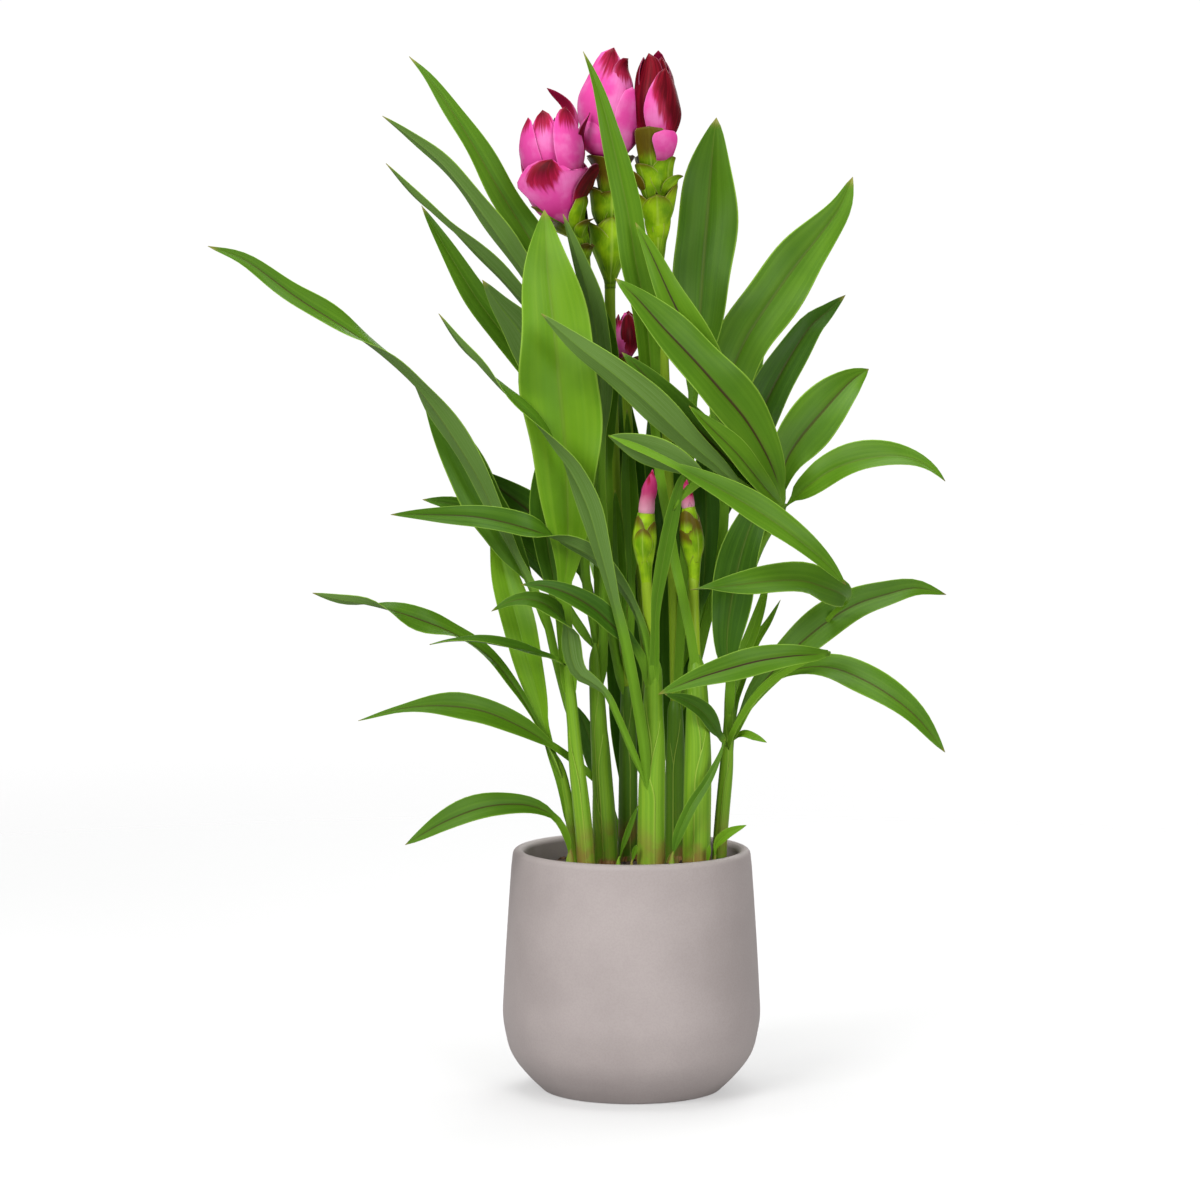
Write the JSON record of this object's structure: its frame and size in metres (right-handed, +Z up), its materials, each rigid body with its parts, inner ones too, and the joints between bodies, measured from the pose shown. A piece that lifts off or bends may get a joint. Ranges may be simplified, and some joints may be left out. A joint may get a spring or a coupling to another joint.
{
  "type": "potted curcuma",
  "caption": "Flowering curcuma plant with long pointed leaves and tall pink bract heads in a round ceramic pot filled with soil.",
  "frame": {"origin": "middle of the pot's flat base", "axes": "+Z up along the pot's axis, -Y towards the front of the plant, +X to its right"},
  "size_m": [0.441, 0.2889, 0.6217],
  "materials": {
    "pot": "matt glaze, warm taupe grey",
    "soil": "moist peat potting soil",
    "leaf": "satin leaf, fresh green with a dark red midrib",
    "bract_green": "waxy yellow-green bracts",
    "bract_pink": "satin pink bracts with dark red tips"
  },
  "bodies": {
    "root": {"pot": "pot", "soil": "soil", "bloom_hidden_coma": "bract_pink", "bloom_hidden_spike": "bract_green", "bloom_left_coma": "bract_pink", "bloom_left_spike": "bract_green", "bloom_middle_coma": "bract_pink", "bloom_middle_spike": "bract_green", "bloom_right_coma": "bract_pink", "bloom_right_spike": "bract_green", "bud_centre_green": "bract_green", "bud_centre_pink": "bract_pink", "bud_right_green": "bract_green", "bud_right_pink": "bract_pink", "low_leaf": "leaf", "shoot_back_left": "leaf", "shoot_back_right": "leaf", "shoot_centre": "leaf", "shoot_far_back": "leaf", "shoot_left_inner": "leaf", "shoot_left_outer": "leaf", "shoot_mid_left": "leaf", "shoot_right": "leaf", "shoot_right_outer": "leaf", "sprout_centre": "leaf", "sprout_front": "leaf", "sprout_left": "leaf", "sprout_right_bright": "leaf", "sprout_right_small": "leaf"}
  },
  "joints": []
}
